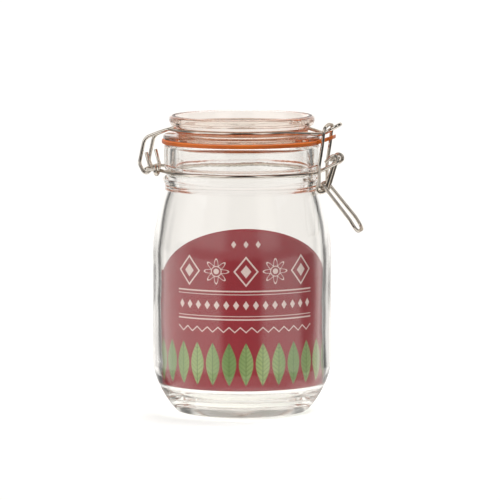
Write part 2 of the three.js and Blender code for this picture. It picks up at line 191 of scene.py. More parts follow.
# Bands of the light, by the sine of their height. Upright glass mirrors and shows the wall
# level alone. The others shape the heel, the bead, the lid and the wire.
wall_level = height.rise(-0.2, -0.15) * (1 - height.rise(-0.07, -0.02))
edge_level = height.rise(-0.34, -0.2) * (1 - height.rise(0.3, 0.6))
room_level = height.rise(-0.75, -0.6) * (1 - height.rise(0.02, 0.14))
flag_level = height.rise(-0.52, -0.44)
floor_level = 1 - height.rise(-0.3, -0.2)

# What the wire and the outside of the glass mirror: a dark stripe before the jar and narrow
# ones beside and behind it at the wall level, and elsewhere a dark room low in front, a wide
# flag on each side, and a faint one low behind.
dark_room = 0.94 * shade((FRONT, 75, 14, 1.0)) * room_level
side_flags = shade((FRONT, 22, 8, 0.95), (96, 34, 10, 0.95), (258, 24, 10, 0.95))
low_flag = shade((205, 34, 12, 0.6)) * floor_level
off_level = MIRROR_GAIN * (1 - dark_room) * (1 - side_flags * flag_level) * (1 - low_flag)
at_level = 1 - shade(
    (FRONT, 28, 7, 0.94), (112, 15, 5, 0.92), (157, 10, 5, 0.8), (229, 10, 5, 0.8)
)
mirrored_light = off_level + wall_level * (at_level - off_level)

# What shows through the glass: the same stripes before and beside it at the wall level, and
# two narrow flags behind, which draw the walls' inner edges.
before_jar = shade((FRONT, 27, 5, 0.85), (112, 15, 5, 0.8)) * wall_level
behind_jar = shade((154, 9, 5, 0.95), (234, 9, 5, 0.95)) * edge_level
through_light = (1 - before_jar) * (1 - behind_jar)
reflected = sky.add("ShaderNodeLightPath", out="Is Reflection Ray")
seen = sky.add("ShaderNodeLightPath", out="Is Camera Ray")
around_jar = through_light + reflected * (mirrored_light - through_light)
level = around_jar + seen * (1 - around_jar)
zenith = 1 - 0.55 * height.rise(0.6, 0.85)  # less light from straight above
light = sky.add(
    "ShaderNodeBackground",
    inputs={"Color": SKY_COLOUR, "Strength": level * zenith * SKY_STRENGTH},
)
sky.add("ShaderNodeOutputWorld", inputs={"Surface": light})
bpy.context.scene.world = world


def softbox(name, place, target, width, power):
    """A square lamp at a place, turned to its target. It lights dull surfaces alone."""
    lamp = bpy.data.lights.new(name, "AREA")
    lamp.shape, lamp.size, lamp.size_y, lamp.energy = "RECTANGLE", width, width, power
    lit = bpy.data.objects.new(name, lamp)
    lit.location = place
    lit.rotation_euler = (Vector(target) - Vector(place)).to_track_quat("-Z", "Y").to_euler()
    lit.visible_glossy = lit.visible_transmission = False
    bpy.context.collection.objects.link(lit)


softbox("key_light", (-0.9, -1.6, 0.9), (0, 0, 0.07), 0.9, 9)
softbox("fill_light", (1.5, -1.2, 0.7), (0, 0, 0.07), 0.9, 4)
softbox("top_light", (0.2, 0.3, 1.6), (0, 0, 0), 1.2, 30)

circle = np.linspace(0, 2 * np.pi, 128, endpoint=False)
rim = np.column_stack([AXIS_X + FLOOR_R * np.cos(circle), FLOOR_R * np.sin(circle), 0 * circle])
floor_mesh = bpy.data.meshes.new("floor")
floor_mesh.from_pydata(rim.tolist(), [], [list(range(len(rim)))])
floor = bpy.data.objects.new("floor", floor_mesh)
bpy.context.collection.objects.link(floor)
floor.visible_glossy = False
matte = bpy.data.materials.new("floor_white")
matte.use_nodes = True
matte.node_tree.nodes.clear()
base = Port(matte.node_tree)
mottle = base.add("ShaderNodeTexNoise", inputs={"Scale": 40.0})
white = mottle.blend((0.96, 0.96, 0.96, 1), (0.98, 0.98, 0.98, 1))
painted = base.add("ShaderNodeBsdfPrincipled", inputs={"Base Color": white, "Roughness": 0.7})
base.add("ShaderNodeOutputMaterial", inputs={"Surface": painted})
floor_mesh.materials.append(matte)


# Jar. Pressed and blown soda glass with a thick heel, a punt below and a rolled collar. It
# is one closed surface, turned from a profile that goes up the outside and down the inside.
BODY_R = 52.5
BODY_LOW_Z, BODY_HIGH_Z = 28.0, 92.0
BODY_INNER_R = 48.0
INNER_HEEL_Z = 17.6
FLOOR_Z, FLOOR_FLAT_R = 7.2, 32.0
FOOT_OUT_R, FOOT_IN_R = 39.0, 35.5
PUNT_Z, PUNT_FLAT_R = 2.4, 29.0
NECK_R, NECK_Z = 45.2, 131.0
BEAD_R, BEAD_Z = 46.3, 136.6
WIRE_GROOVE_R, NECK_WIRE_Z = 44.6, 141.7
COLLAR_R, LIP_Z = 45.8, 157.82
MOUTH_R, MOUTH_ROUND = 39.5, 1.3
HEEL_HANDLES = (43, 3.4), (BODY_R, 17)
SHOULDER_HANDLES = (BODY_R, 106), (47.5, 126)
INNER_SHOULDER_HANDLES = (43, 126), (BODY_INNER_R, 106)
INNER_HEEL_HANDLES = (47.2, 12.5), (41.5, 7.4)
JAR_SIDES = 192
WAVE_DEPTH = 0.07


def bend(before, corner, after, radius, step=12.0):
    """Points of the arc of that radius that rounds a corner, a step in degrees apart.

    The arc's centre lies on the corner's bisector, radius / cos(half the turn) from it, and
    its points are the two touching points mixed by sines, as on a great circle."""
    before, corner, after = (np.asarray(p[:3], float) for p in (before, corner, after))
    back = (before - corner) / np.linalg.norm(before - corner)
    ahead = (after - corner) / np.linalg.norm(after - corner)
    turned = np.pi - np.arccos(np.clip(back @ ahead, -1, 1))
    run = radius * np.tan(turned / 2)
    middle = (back + ahead) / np.linalg.norm(back + ahead)
    centre = corner + middle * radius / np.cos(turned / 2)
    start, end = corner + back * run - centre, corner + ahead * run - centre
    t = np.linspace(0, 1, max(2, int(np.ceil(np.degrees(turned) / step)) + 1))[:, None]
    return centre + (start * np.sin((1 - t) * turned) + end * np.sin(t * turned)) / np.sin(turned)


def route(entries):
    """Points through the entries in turn: one with a fourth number is a corner of that radius."""
    pieces = []
    for i, entry in enumerate(entries):
        if len(entry) == 4:
            pieces.append(bend(entries[i - 1], entry, entries[i + 1], entry[3]))
        else:
            pieces.append(np.array([entry], float))
    return np.concatenate(pieces)


def bezier(start, first, second, end, steps):
    """Points of the cubic Bezier curve from start to end, without the start: the sum of its
    four points, each weighted by its Bernstein polynomial."""
    t = np.linspace(0, 1, steps + 1)[1:, None]
    points = np.array([start, first, second, end], float)
    weights = np.hstack([(1 - t) ** 3, 3 * t * (1 - t) ** 2, 3 * t**2 * (1 - t), t**3])
    return weights @ points


def finer(points, step):
    """The same broken line with more points, so that none is further than step from the next."""
    along = np.concatenate([[0], np.cumsum(np.linalg.norm(np.diff(points, axis=0), axis=1))])
    even = np.linspace(0, along[-1], int(along[-1] / step) + 1)
    every = np.unique(np.round(np.concatenate([along, even]), 5))
    every = every[np.concatenate([[True], np.diff(every) > 0.02])]
    return np.column_stack([np.interp(every, along, points[:, k]) for k in range(points.shape[1])])


def skin(name, rings, ends=None, uv=None):
    """A closed mesh over a grid of points in millimetres, put in the row frame.

    Row i of the grid is a ring that closes on itself, and each face joins the points (i, j),
    (i + 1, j), (i + 1, j + 1) and (i, j + 1). The first and last rings are closed by
    triangles to the two end points, or joined to each other if there are none."""
    rows, columns = rings.shape[:2]
    i, j = np.meshgrid(np.arange(rows - (ends is not None)), np.arange(columns), indexing="ij")
    i, j = i.ravel(), j.ravel()
    below, right = (i + 1) % rows, (j + 1) % columns
    quads = np.column_stack([
        i * columns + j, below * columns + j, below * columns + right, i * columns + right,
    ])
    points = rings.reshape(-1, 3)
    corner_uv = None
    if uv is not None:
        corner_uv = [uv[i, j], uv[below, j], uv[below, j + 1], uv[i, j + 1]]
        corner_uv = np.stack(corner_uv, axis=1).reshape(-1, 2)
    fans = np.empty((0, 3), int)
    if ends is not None:
        here = np.arange(columns)
        following = (here + 1) % columns
        last = (rows - 1) * columns
        first_end = np.full(columns, len(points))
        first_fan = np.column_stack([first_end, here, following])
        last_fan = np.column_stack([first_end + 1, last + following, last + here])
        fans = np.vstack([first_fan, last_fan])
        points = np.vstack([points, ends])
        if uv is not None:
            fan_uv = np.vstack([
                np.stack([uv[0, :-1], uv[0, :-1], uv[0, 1:]], axis=1).reshape(-1, 2),
                np.stack([uv[-1, :-1], uv[-1, 1:], uv[-1, :-1]], axis=1).reshape(-1, 2),
            ])
            corner_uv = np.vstack([corner_uv, fan_uv])
    triangles = np.vstack([quads[:, [0, 1, 2]], quads[:, [0, 2, 3]], fans])
    a, b, c = (points[triangles[:, k]] for k in range(3))
    inside_out = np.einsum("ij,ij->", a, np.cross(b, c)) < 0
    if inside_out:
        quads, fans = quads[:, ::-1], fans[:, ::-1]
        if corner_uv is not None:
            split_at = 4 * len(quads)
            quad_uv = corner_uv[:split_at].reshape(-1, 4, 2)[:, ::-1].reshape(-1, 2)
            fan_uv = corner_uv[split_at:].reshape(-1, 3, 2)[:, ::-1].reshape(-1, 2)
            corner_uv = np.vstack([quad_uv, fan_uv])
    corners = np.concatenate([quads.ravel(), fans.ravel()])
    sizes = np.concatenate([np.full(len(quads), 4), np.full(len(fans), 3)])
    mesh = bpy.data.meshes.new(name)
    mesh.vertices.add(len(points))
    mesh.vertices.foreach_set("co", (points * MM + [AXIS_X, 0, 0]).ravel())
    mesh.loops.add(len(corners))
    mesh.loops.foreach_set("vertex_index", corners)
    mesh.polygons.add(len(sizes))
    mesh.polygons.foreach_set("loop_start", np.concatenate([[0], np.cumsum(sizes)[:-1]]))
    mesh.polygons.foreach_set("use_smooth", np.ones(len(sizes), bool))
    if corner_uv is not None:
        mesh.uv_layers.new(name="length_and_girth").uv.foreach_set("vector", corner_uv.ravel())
    mesh.update(calc_edges=True)
    mesh.validate()
    piece = bpy.data.objects.new(name, mesh)
    bpy.context.collection.objects.link(piece)
    return piece


def lathe(name, profile, sides, change):
    """The profile of radius and height turned round the axis: (r cos a, r sin a, z) for each
    angle a. Its two ends lie on the axis, and change moves the points of the grid."""
    a = np.linspace(0, 2 * np.pi, sides, endpoint=False)[None, :]
    r, z = change(profile[1:-1, :1] + 0 * a, profile[1:-1, 1:] + 0 * a, a)
    rings = np.stack([r * np.cos(a), r * np.sin(a), z], axis=2)
    ends = [[0, 0, profile[0, 1]], [0, 0, profile[-1, 1]]]
    return skin(name, rings, ends)


foot = route([
    (0, 0, PUNT_Z), (PUNT_FLAT_R, 0, PUNT_Z - 0.4, 6), (FOOT_IN_R, 0, 0, 1.5), (FOOT_OUT_R, 0, 0),
])[:, [0, 2]]
heel = bezier((FOOT_OUT_R, 0), *HEEL_HANDLES, (BODY_R, BODY_LOW_Z), 24)
shoulder = bezier((BODY_R, BODY_HIGH_Z), *SHOULDER_HANDLES, (NECK_R, NECK_Z), 24)
collar = route([
    (NECK_R, 0, NECK_Z),
    (NECK_R + 0.2, 0, BEAD_Z - 2.6, 1.2),
    (BEAD_R, 0, BEAD_Z - 1, 0.8),
    (BEAD_R, 0, BEAD_Z + 0.6, 0.8),
    (WIRE_GROOVE_R, 0, NECK_WIRE_Z - 2.4, 1.4),
    (WIRE_GROOVE_R, 0, NECK_WIRE_Z + 1.8, 0.9),
    (COLLAR_R, 0, NECK_WIRE_Z + 3, 0.9),
    (COLLAR_R, 0, LIP_Z, 2.0),
    (MOUTH_R, 0, LIP_Z, MOUTH_ROUND),
    (MOUTH_R, 0, NECK_WIRE_Z, 12),
    (MOUTH_R + 1, 0, NECK_Z),
])[:, [0, 2]]
inner_shoulder = bezier(
    (MOUTH_R + 1, NECK_Z), *INNER_SHOULDER_HANDLES, (BODY_INNER_R, BODY_HIGH_Z), 24
)
inner_heel = bezier(
    (BODY_INNER_R, INNER_HEEL_Z), *INNER_HEEL_HANDLES, (FLOOR_FLAT_R, FLOOR_Z), 20
)
jar_profile = np.concatenate([
    foot, heel, [(BODY_R, BODY_HIGH_Z)], shoulder, collar[1:], inner_shoulder,
    [(BODY_INNER_R, INNER_HEEL_Z)], inner_heel, [(0, FLOOR_Z)],
])
jar_profile = finer(jar_profile, 2.5)
from_mouth = np.abs(jar_profile - [MOUTH_R + MOUTH_ROUND, LIP_Z]).sum(axis=1)
inside_from = int(np.argmin(from_mouth))


def blown(r, z, a):
    """The inner wall's slow waves, left where the glass was blown: a few sines of the angle
    and the height, at most 0.16 mm deep, and none on the outside, which the mould shaped."""
    wave = np.sin(3 * a + 0.04 * z) + 0.7 * np.sin(5 * a - 0.07 * z + 1)
    wave = wave + 0.5 * np.sin(2 * a + 0.11 * z + 2)
    row = np.arange(r.shape[0])[:, None]
    deep = np.where(row > inside_from, WAVE_DEPTH, 0.0) * np.clip((LIP_Z - 6 - z) / 10, 0, 1)
    return r + deep * wave * np.clip(r / 30, 0, 1), z


jar_body = lathe("jar_body", jar_profile, JAR_SIDES, blown)


def material(name):
    """A new material without nodes, and the port from which its nodes are added."""
    made = bpy.data.materials.new(name)
    made.use_nodes = True
    made.node_tree.nodes.clear()
    return made, Port(made.node_tree)


def clear_glass(name, wave_scale, wave_depth, glass_tint_and_painted_glow, density):
    """Soda glass, coloured in its depth, with soft waves and fine orange peel on the
    surface. On the jar the depth colour is the glass's own faint tint, and on the lid it is a
    painted amber glow, standing in for the orange light that the rubber ring throws into it.
    Light on its way to a lamp or from a dull surface passes straight through."""
    made, start = material(name)
    place = start.add("ShaderNodeTexCoord", out="Object")
    fine = place.noise(900.0, 2.0)
    relief = place.noise(wave_scale, 1.0) + fine * 0.02
    dull = 0.03 * fine.rise(0.62, 0.8)
    glass = start.add("ShaderNodeBsdfPrincipled", inputs={
        "Base Color": (0.93, 0.925, 0.915, 1), "Roughness": dull, "IOR": 1.5,
        "Transmission Weight": 1.0, "Normal": relief.bump(1.0, wave_depth),
    })
    open_way = start.add("ShaderNodeBsdfTransparent", inputs={"Color": (0.965, 0.975, 0.968, 1)})
    path = start.add("ShaderNodeLightPath", out="Is Shadow Ray")
    dull_ray = Port(start.tree, path.socket.node.outputs["Is Diffuse Ray"])
    passes = path.maths("MAXIMUM", path, dull_ray)
    mixed = start.add("ShaderNodeMixShader", inputs={0: passes, 1: glass, 2: open_way})
    absorbed_tint_and_painted_glow = start.add(
        "ShaderNodeVolumeAbsorption", inputs={"Color": glass_tint_and_painted_glow, "Density": density}
    )
    start.add("ShaderNodeOutputMaterial", inputs={"Surface": mixed, "Volume": absorbed_tint_and_painted_glow})
    return made


jar_body.data.materials.append(clear_glass(
    "jar_soda_glass", 35.0, 0.00035, glass_tint_and_painted_glow=(0.25, 0.27, 0.05, 1), density=2.0
))
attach(jar_body, "jar")
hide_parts("jar_glass")


# Lid. A pressed glass disc with a boss that drops into the mouth, a flange on the rubber
# ring, a groove for the lid wire, and a raised rim with small grip beads on top.
LID_BOTTOM_Z = 160.2
LID_FLANGE_R, LID_FLANGE_Z = 46.4, 163.5
LID_GROOVE_R = 38.95
LID_RING_R, LID_RING_Z = 42.8, 170.7
LID_TOP_Z = 174.3
LID_DISH_R, LID_DISH_Z = 36.4, 168.3
LID_RIM_IN_R = LID_DISH_R + 1.8
LID_BOSS_R, LID_BOSS_ROOT_Z = 38.2, 157.8
LID_BOSS_TIP_R, LID_BOSS_Z, LID_BOSS_IN_R = 36.6, 154.2, 33.4
LID_UNDER_R, LID_UNDER_Z = 31.5, 162.1
LID_WIRE_Z = 166.0
GRIP_BEADS = 116
GRIP_BEAD_H, GRIP_BEAD_HALF_W = 0.35, 1.1
lid_profile = route([
    (0, 0, LID_UNDER_Z),
    (LID_UNDER_R, 0, LID_UNDER_Z, 1.6),
    (LID_BOSS_IN_R, 0, LID_BOSS_Z, 1.2),
    (LID_BOSS_TIP_R, 0, LID_BOSS_Z, 1.2),
    (LID_BOSS_R, 0, LID_BOSS_ROOT_Z, 2),
    (LID_BOSS_R + 0.3, 0, LID_BOTTOM_Z, 0.3),
    (LID_FLANGE_R, 0, LID_BOTTOM_Z, 0.5),
    (LID_FLANGE_R - 0.1, 0, LID_FLANGE_Z - 0.8, 1.0),
    (LID_GROOVE_R, 0, LID_FLANGE_Z, 0.7),
    (LID_GROOVE_R, 0, LID_WIRE_Z + 1.2, 0.8),
    (LID_RING_R - 0.9, 0, LID_RING_Z - 2, 1.2),
    (LID_RING_R, 0, LID_RING_Z, 1.2),
    (LID_RING_R, 0, LID_TOP_Z - GRIP_BEAD_H, 1.8),
    (LID_RIM_IN_R, 0, LID_TOP_Z - GRIP_BEAD_H, 1.6),
    (LID_DISH_R, 0, LID_DISH_Z, 0.9),
    (0, 0, LID_DISH_Z - 0.4),
])[:, [0, 2]]


def beaded(r, z, a):
    """Grip beads round the rim: the height rises by a half wave of the angle, times a hump
    across the rim's flat top, where the profile is at its highest."""
    middle = (LID_RING_R + LID_RIM_IN_R) / 2 - 0.2
    hump = np.clip(1 - ((r - middle) / GRIP_BEAD_HALF_W) ** 2, 0, 1)
    hump = hump * (z > LID_TOP_Z - GRIP_BEAD_H - 0.05)
    return r, z + GRIP_BEAD_H * hump * np.clip(np.cos(GRIP_BEADS * a), 0, 1)


lid_disc = lathe("lid_disc", finer(lid_profile, 1.1), 4 * GRIP_BEADS, beaded)
# The lid's amber depth colour is painted light: a painted glow for the rubber ring's orange light
# in the glass.
lid_disc.data.materials.append(clear_glass(
    "lid_glass_painted_seal_glow", 45.0, 0.0003, glass_tint_and_painted_glow=(0.75, 0.42, 0.16, 1), density=24.0
))
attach(lid_disc, "lid")
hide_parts("lid_glass")


# Rubber ring. A moulded washer of orange rubber under the lid's flange. Its inner lip grips
# the boss, and a round-ended pull tab at the catch side tips up a little.
SEAL_OUT_R = 47.2
SEAL_LIP_ROOT_R, SEAL_LIP_OUT_R, SEAL_LIP_IN_R, SEAL_LIP_Z = 41.2, 39.4, 38.5, 155.05
SEAL_Z, SEAL_T, SEAL_EDGE = 157.8, 2.2, 0.5
TAB_HALF_W, TAB_END_X, TAB_CORNER = 6.5, 55.5, 3.0
TAB_RISE = 20.0


def seal_angles():
    """Angles all round, close together across the tab and closest along its two sides."""
    side_angle = math.asin(TAB_HALF_W / SEAL_OUT_R)
    rest = np.linspace(side_angle + 0.01, 2 * np.pi - side_angle - 0.01, 170)
    tab = np.linspace(-side_angle * 0.86, side_angle * 0.86, 31)
    edge = np.linspace(side_angle * 0.87, side_angle + 0.005, 14)
    return np.concatenate([-edge[::-1], tab, edge, rest])


def seal_reach(a):
    """The outline's radius at each angle: the ring's, or where the ray meets the tab's side,
    its end or one of its round corners, whichever comes first."""
    c, s = np.cos(a), np.abs(np.sin(a))
    side = TAB_HALF_W / np.maximum(s, 1e-6)
    end = TAB_END_X / np.maximum(c, 1e-6)
    x0, y0 = TAB_END_X - TAB_CORNER, TAB_HALF_W - TAB_CORNER
    along = x0 * c + y0 * s
    inside = np.maximum(TAB_CORNER**2 - (x0**2 + y0**2 - along**2), 0)
    corner = along + np.sqrt(inside)
    reach = np.minimum(side, end)
    at_corner = (reach * c > x0) & (reach * s > y0)
    reach = np.where(at_corner, np.minimum(reach, corner), reach)
    return np.where(c > 0, np.maximum(reach, SEAL_OUT_R), SEAL_OUT_R)


def seal_surface():
    """The washer's section carried round the axis: at each angle it runs out along the bottom
    to the reach, over the rounded rim, back along the top, and down round the lip that grips
    the lid's boss. Beyond the ring, the height climbs with x by the tab's rise."""
    a = seal_angles()
    reach = np.clip(seal_reach(a), SEAL_OUT_R, None)
    round_off = SEAL_EDGE * (1 - np.cos(np.linspace(0, np.pi / 2, 4)))
    climb = SEAL_EDGE * np.sin(np.linspace(0, np.pi / 2, 4))
    share = np.linspace(0, 1, 12)
    low, high = SEAL_Z, SEAL_Z + SEAL_T
    lip = route([
        (SEAL_LIP_ROOT_R, 0, high),
        (SEAL_LIP_IN_R + 0.1, 0, high, 0.7),
        (SEAL_LIP_IN_R, 0, SEAL_LIP_Z, 0.35),
        (SEAL_LIP_OUT_R, 0, SEAL_LIP_Z, 0.35),
        (SEAL_LIP_OUT_R, 0, low, 1.1),
        (SEAL_LIP_ROOT_R, 0, low),
    ])[1:-1]
    outward = SEAL_LIP_ROOT_R + (reach[:, None] - SEAL_EDGE - SEAL_LIP_ROOT_R) * share
    rim_out = reach[:, None] - SEAL_EDGE + climb
    lip_r = np.broadcast_to(lip[:, 0], (len(a), len(lip)))
    r = np.concatenate([
        outward, rim_out[:, 1:], rim_out[:, ::-1], outward[:, ::-1][:, 1:], lip_r,
    ], axis=1)
    z_row = np.concatenate([
        0 * share + low, low + round_off[1:],
        high - round_off[::-1], 0 * share[1:] + high, lip[:, 2],
    ])
    x, y = r * np.cos(a)[:, None], r * np.sin(a)[:, None]
    lift = np.maximum(x - SEAL_OUT_R + 1.2, 0) * math.tan(math.radians(TAB_RISE))
    lift = lift * (np.abs(y) < TAB_HALF_W + 0.5) * (x > 0)
    ease = np.clip((TAB_HALF_W + 0.5 - np.abs(y)) / 0.5, 0, 1)
    return np.stack([x, y, z_row[None, :] + lift * ease], axis=2)


rubber_ring = skin("rubber_ring", seal_surface())


def orange_rubber():
    """Moulded rubber: orange with slow darker clouds, a satin face and fine pitted grain."""
    made, start = material("orange_rubber")
    place = start.add("ShaderNodeTexCoord", out="Object")
    cloud = place.noise(60.0, 3.0)
    pits = place.noise(2200.0, 2.0).bump(0.4, 0.00008)
    colour = cloud.rise(0.3, 0.7).blend(paint(186, 88, 24), paint(206, 104, 32))
    rubber = start.add("ShaderNodeBsdfPrincipled", inputs={
        "Base Color": colour, "Roughness": 0.36 + 0.2 * cloud, "Normal": pits, "IOR": 1.5,
    })
    start.add("ShaderNodeOutputMaterial", inputs={"Surface": rubber})
    return made


rubber_ring.data.materials.append(orange_rubber())
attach(rubber_ring, "lid")
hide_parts("seal_ring")


# Neck wire. Zinc-plated spring steel wire round the neck under the collar. It ends in front
# in two hairpin eyes for the lever, and behind in a wide U, whose bar is the lid's hinge.
WIRE_R = 0.98
WIRE_SIDES = 16
WIRE_OFF_GROOVE = 1.35
NECK_WIRE_R = WIRE_GROOVE_R + WIRE_OFF_GROOVE
EYE_Y, EYE_R, EYE_RISE = 6.9, 2.35, 27.0
PIVOT = (56.6, 149.3)
EYE_TAIL = (51.4, 147.6)
HINGE = (-55.3, 142.4)
HINGE_BAR_Y = 14.0
HINGE_CORNER_X = -45.9


def upright_arc(centre, radius, start, end, y0, y1=None):
    """Points on an upright circle about a line along Y, from one angle in degrees to the other,
    with y going evenly from y0 to y1."""
    t = np.linspace(0, 1, int(abs(end - start) / 10) + 2)
    a = np.radians(start + (end - start) * t)
    y = y0 + ((y0 if y1 is None else y1) - y0) * t
    points = np.column_stack([centre[0] + radius * np.cos(a), y, centre[1] + radius * np.sin(a)])
    return [tuple(p) for p in points]


def level_arc(radius, z, start, end):
    """Points on a level circle about the jar's axis, from one angle in degrees to the other."""
    a = np.radians(np.linspace(start, end, int(abs(end - start) / 2.5) + 2))
    return [tuple(p) for p in np.column_stack([radius * np.cos(a), radius * np.sin(a), z + 0 * a])]


def meeting_angle(x, y, radius):
    """Where a straight wire from (x, y) touches a level circle, as an angle from the X axis."""
    own = math.degrees(math.atan2(abs(y), abs(x)))
    return own + math.degrees(math.acos(radius / math.hypot(x, y)))


def mirrored(half, shared=False):
    """A half route and its mirror image in Y. The last point is shared if it lies on y = 0."""
    other = [(p[0], -p[1], *p[2:]) for p in reversed(half)]
    return half + other[1 if shared else 0:]


def wire(name, points):
    """A round wire along the points. Each ring is the circle r (n cos b + m sin b) about its
    point, with n and m square to the wire's direction and carried along it without twist.
    The ends are rounded off over a third of the radius."""
    far = np.concatenate([[True], np.linalg.norm(np.diff(points, axis=0), axis=1) > 1e-4])
    points = points[far]
    ahead = np.diff(points, axis=0)
    ahead /= np.linalg.norm(ahead, axis=1)[:, None]
    along = np.vstack([ahead[:1], ahead[:-1] + ahead[1:], ahead[-1:]])
    along /= np.linalg.norm(along, axis=1)[:, None]
    bevel = WIRE_R * np.array([[0], [0.05], [0.35]])
    points = np.vstack([
        points[0] + along[0] * bevel, points[1:-1], points[-1] - along[-1] * bevel[::-1],
    ])
    along = np.vstack([along[:1].repeat(3, 0), along[1:-1], along[-1:].repeat(3, 0)])
    sizes = np.concatenate([[0.6, 0.82, 1.0], np.ones(len(points) - 6), [1.0, 0.82, 0.6]])

    def carry(n, t):
        """The normal n made square to the next direction t, and of length one."""
        n = n - t * (n @ t)
        return n / np.linalg.norm(n)

    seed = np.cross(along[0], [0.3, 0.2, 0.9])
    normals = np.array(list(itertools.accumulate(along, carry, initial=seed))[1:])
    others = np.cross(along, normals)
    b = np.linspace(0, 2 * np.pi, WIRE_SIDES, endpoint=False)[None, :, None]
    circle = normals[:, None] * np.cos(b) + others[:, None] * np.sin(b)
    rings = points[:, None] + WIRE_R * sizes[:, None, None] * circle
    length = np.concatenate([[0], np.cumsum(np.linalg.norm(np.diff(points, axis=0), axis=1))])
    u = np.broadcast_to(length[:, None], (len(points), WIRE_SIDES + 1)) / 100
    v = np.broadcast_to(np.linspace(0, 1, WIRE_SIDES + 1) * 2 * np.pi * WIRE_R / 100, u.shape)
    return skin(name, rings, [points[0], points[-1]], np.stack([u, v], axis=2))


def plated_wire():
    """Zinc-plated drawn wire: grey metal with faint lines drawn along it, and duller, darker
    patches where it has been handled. The pattern follows the wire's length and girth."""
    made, start = material("plated_wire")
    place = start.add("ShaderNodeUVMap", {"uv_map": "length_and_girth"})
    drawn = start.add("ShaderNodeMapping", inputs={"Vector": place, "Scale": (40, 3000, 1)})
    lines = drawn.noise(1.0, 3.0).bump(0.3, 0.000002)
    patches = place.noise(16.0, 2.0)
    colour = patches.rise(0.35, 0.7).blend(paint(216, 208, 198), paint(238, 232, 224))
    metal = start.add("ShaderNodeBsdfPrincipled", inputs={
        "Base Color": colour, "Metallic": 1.0, "Roughness": 0.03 + 0.05 * patches,
        "Specular Tint": (0.4, 0.36, 0.32, 1), "Normal": lines,
    })
    start.add("ShaderNodeOutputMaterial", inputs={"Surface": metal})
    return made


steel = plated_wire()


def fit_wire(piece, body, *nodes):
    """Plates a finished wire and puts it on its body, in the place of the plain nodes."""
    piece.data.materials.append(steel)
    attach(piece, body)
    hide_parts(*nodes)


rise = math.radians(EYE_RISE)
to_tail = math.hypot(EYE_TAIL[0] - PIVOT[0], EYE_TAIL[1] - PIVOT[1])
tail_angle = 180 + math.degrees(math.atan2(PIVOT[1] - EYE_TAIL[1], PIVOT[0] - EYE_TAIL[0]))
eye_start = tail_angle - math.degrees(math.acos(EYE_R / to_tail))
eye_end = EYE_RISE - 90
eye_end_x = PIVOT[0] + EYE_R * math.cos(math.radians(eye_end))
eye_end_z = PIVOT[1] + EYE_R * math.sin(math.radians(eye_end))
eye_corner_x = eye_end_x - (eye_end_z - NECK_WIRE_Z) / math.tan(rise)
front = meeting_angle(eye_corner_x, EYE_Y, NECK_WIRE_R)
rear = meeting_angle(HINGE_CORNER_X, HINGE_BAR_Y, NECK_WIRE_R)
neck_half = [
    (EYE_TAIL[0], -EYE_Y, EYE_TAIL[1]),
    *upright_arc(PIVOT, EYE_R, eye_start, eye_end, -EYE_Y),
    (eye_corner_x, -EYE_Y, NECK_WIRE_Z, 2.5),
    *level_arc(NECK_WIRE_R, NECK_WIRE_Z, -front, rear - 180),
    (HINGE_CORNER_X, -HINGE_BAR_Y, NECK_WIRE_Z, 3),
    (HINGE[0], -HINGE_BAR_Y, HINGE[1], 2.2),
]
fit_wire(wire("neck_band", route(mirrored(neck_half))), "jar", "neck_wire")


# Hooked turns. The neck band is made of two halves, and behind, the end of one is wound
# round the leg of the other, one turn and a half on each side.
COIL_X, COIL_R = -48.2, 2.5
COIL_TURNS, COIL_PITCH = 1.5, 2.1
for label, side_of in (("near", -1), ("far", 1)):
    t = np.linspace(-0.5, 0.5, 60)
    angle = 2 * np.pi * COIL_TURNS * t
    slope = (HINGE[1] - NECK_WIRE_Z) / (HINGE_CORNER_X - HINGE[0])
    coil_z = NECK_WIRE_Z + (HINGE_CORNER_X - COIL_X) * slope
    helix = np.column_stack([
        COIL_X + COIL_PITCH * COIL_TURNS * t,
        side_of * HINGE_BAR_Y + COIL_R * np.sin(angle),
        coil_z - COIL_R * np.cos(angle),
    ])
    fit_wire(wire("hooked_turns_" + label, helix), "jar", "neck_coil_" + label)


# Lid wire. The same wire in the lid's groove: a tongue in front that the latch holds down,
# and two arms behind that curl under the hinge bar and end standing up.
LID_WIRE_R = LID_GROOVE_R + WIRE_OFF_GROOVE
TONGUE = (48.9, 163.9)
TONGUE_Y, TONGUE_RISE, TONGUE_LENGTH = 3.4, 30.0, 11.6
ARM_Y, ARM_ROOT_X = 11.2, -41.5
ARM_TOP, ARM_SHOULDER, ARM_ELBOW = (-47.5, 164), (-56.2, 160.6), (-59.53, 145.4)
CURL_R, CURL_START, CURL_END, ARM_TAIL = 2.4, 200.0, 374.5, 9.4
tongue_rise, curl_end = math.radians(TONGUE_RISE), math.radians(CURL_END)
tip_turn = np.radians(np.linspace(-90, 0, 9))
tip_along = TONGUE_LENGTH - TONGUE_Y + TONGUE_Y * np.cos(tip_turn)
tongue_tip = np.column_stack([
    TONGUE[0] + tip_along * math.cos(tongue_rise),
    TONGUE_Y * np.sin(tip_turn),
    TONGUE[1] + tip_along * math.sin(tongue_rise),
])
lid_front = meeting_angle(TONGUE[0], TONGUE_Y, LID_WIRE_R)
lid_rear = meeting_angle(ARM_ROOT_X, ARM_Y, LID_WIRE_R)
